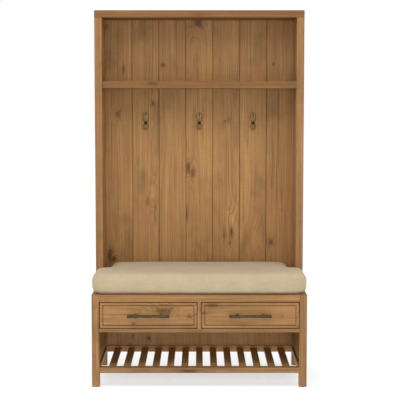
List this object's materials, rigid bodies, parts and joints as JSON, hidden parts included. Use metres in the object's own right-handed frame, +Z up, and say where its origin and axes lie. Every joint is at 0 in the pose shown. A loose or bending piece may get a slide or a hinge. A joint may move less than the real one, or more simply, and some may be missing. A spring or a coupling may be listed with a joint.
{
  "type": "hall tree",
  "caption": "Wooden hall tree with a planked back, hat shelf and coat hooks over a cushioned bench with drawers and a slatted shoe shelf.",
  "frame": {"origin": "on the floor, in the middle of the width and of the depth with the drawer pulls counted", "axes": "+X to the right as seen from the front, +Y from the front to the back, +Z up"},
  "size_m": [1.08, 0.552, 1.9],
  "materials": {
    "frame_wood": "oiled knotty wood, low sheen",
    "plank_wood": "oiled knotty wood, low sheen",
    "inner_wood": "plain sealed wood",
    "drawer_box_wood": "clear sealed light wood",
    "aged_brass": "antique dark brass, rubbed",
    "zinc_steel": "bright zinc",
    "cushion_cloth": "woven oatmeal cloth",
    "glide_nylon": "matte"
  },
  "bodies": {
    "base": {"back_battens": "inner_wood", "back_plank_1": "plank_wood", "back_plank_2": "plank_wood", "back_plank_3": "plank_wood", "back_plank_4": "plank_wood", "back_plank_5": "plank_wood", "back_plank_6": "plank_wood", "back_plank_7": "plank_wood", "bench_back_panel": "inner_wood", "drawer_deck": "inner_wood", "drawer_divider": "inner_wood", "floor_glides": "glide_nylon", "front_bottom_rail": "frame_wood", "front_leg_left": "frame_wood", "front_leg_right": "frame_wood", "front_top_rail": "frame_wood", "hat_shelf": "frame_wood", "hook_left": "aged_brass", "hook_middle": "aged_brass", "hook_right": "aged_brass", "joining_plates": "zinc_steel", "rear_bottom_rail": "frame_wood", "rear_leg_left": "frame_wood", "rear_leg_right": "frame_wood", "rear_top_rail": "frame_wood", "seat_board": "inner_wood", "shoe_shelf_slats": "frame_wood", "side_bottom_rail_left": "frame_wood", "side_bottom_rail_right": "frame_wood", "side_panel_left": "frame_wood", "side_panel_right": "frame_wood", "side_top_rail_left": "frame_wood", "side_top_rail_right": "frame_wood", "slide_cabinet_members": "zinc_steel", "slide_packers": "inner_wood", "top_board": "frame_wood", "upper_side_left": "frame_wood", "upper_side_right": "frame_wood", "wood_screws": "zinc_steel"},
    "drawer_left": {"drawer_left_back": "drawer_box_wood", "drawer_left_bottom": "drawer_box_wood", "drawer_left_box_front": "drawer_box_wood", "drawer_left_face": "frame_wood", "drawer_left_pull": "aged_brass", "drawer_left_pull_screws": "zinc_steel", "drawer_left_side_left": "drawer_box_wood", "drawer_left_side_right": "drawer_box_wood", "slide_drawer_left": "zinc_steel"},
    "drawer_right": {"drawer_right_back": "drawer_box_wood", "drawer_right_bottom": "drawer_box_wood", "drawer_right_box_front": "drawer_box_wood", "drawer_right_face": "frame_wood", "drawer_right_pull": "aged_brass", "drawer_right_pull_screws": "zinc_steel", "drawer_right_side_left": "drawer_box_wood", "drawer_right_side_right": "drawer_box_wood", "slide_drawer_right": "zinc_steel"},
    "slide_left": {"slide_middle_left": "zinc_steel"},
    "slide_right": {"slide_middle_right": "zinc_steel"},
    "cushion": {"seat_cushion": "cushion_cloth"}
  },
  "joints": [
    {"name": "drawer_left_pull_out", "type": "slide", "parent": "base", "child": "drawer_left", "axis": [0, -1, 0], "range_m": [0, 0.38]},
    {"name": "slide_left_run", "type": "slide", "parent": "base", "child": "slide_left", "axis": [0, -1, 0], "range_m": [0, 0.19]},
    {"name": "drawer_right_pull_out", "type": "slide", "parent": "base", "child": "drawer_right", "axis": [0, -1, 0], "range_m": [0, 0.38]},
    {"name": "slide_right_run", "type": "slide", "parent": "base", "child": "slide_right", "axis": [0, -1, 0], "range_m": [0, 0.19]},
    {"name": "cushion_lift", "type": "slide", "parent": "base", "child": "cushion", "axis": [0, 0, 1], "range_m": [0, 0.12]}
  ],
  "couplings": [
    {"joint": "slide_left_run", "follows": "drawer_left_pull_out", "ratio": 0.5},
    {"joint": "slide_right_run", "follows": "drawer_right_pull_out", "ratio": 0.5}
  ]
}
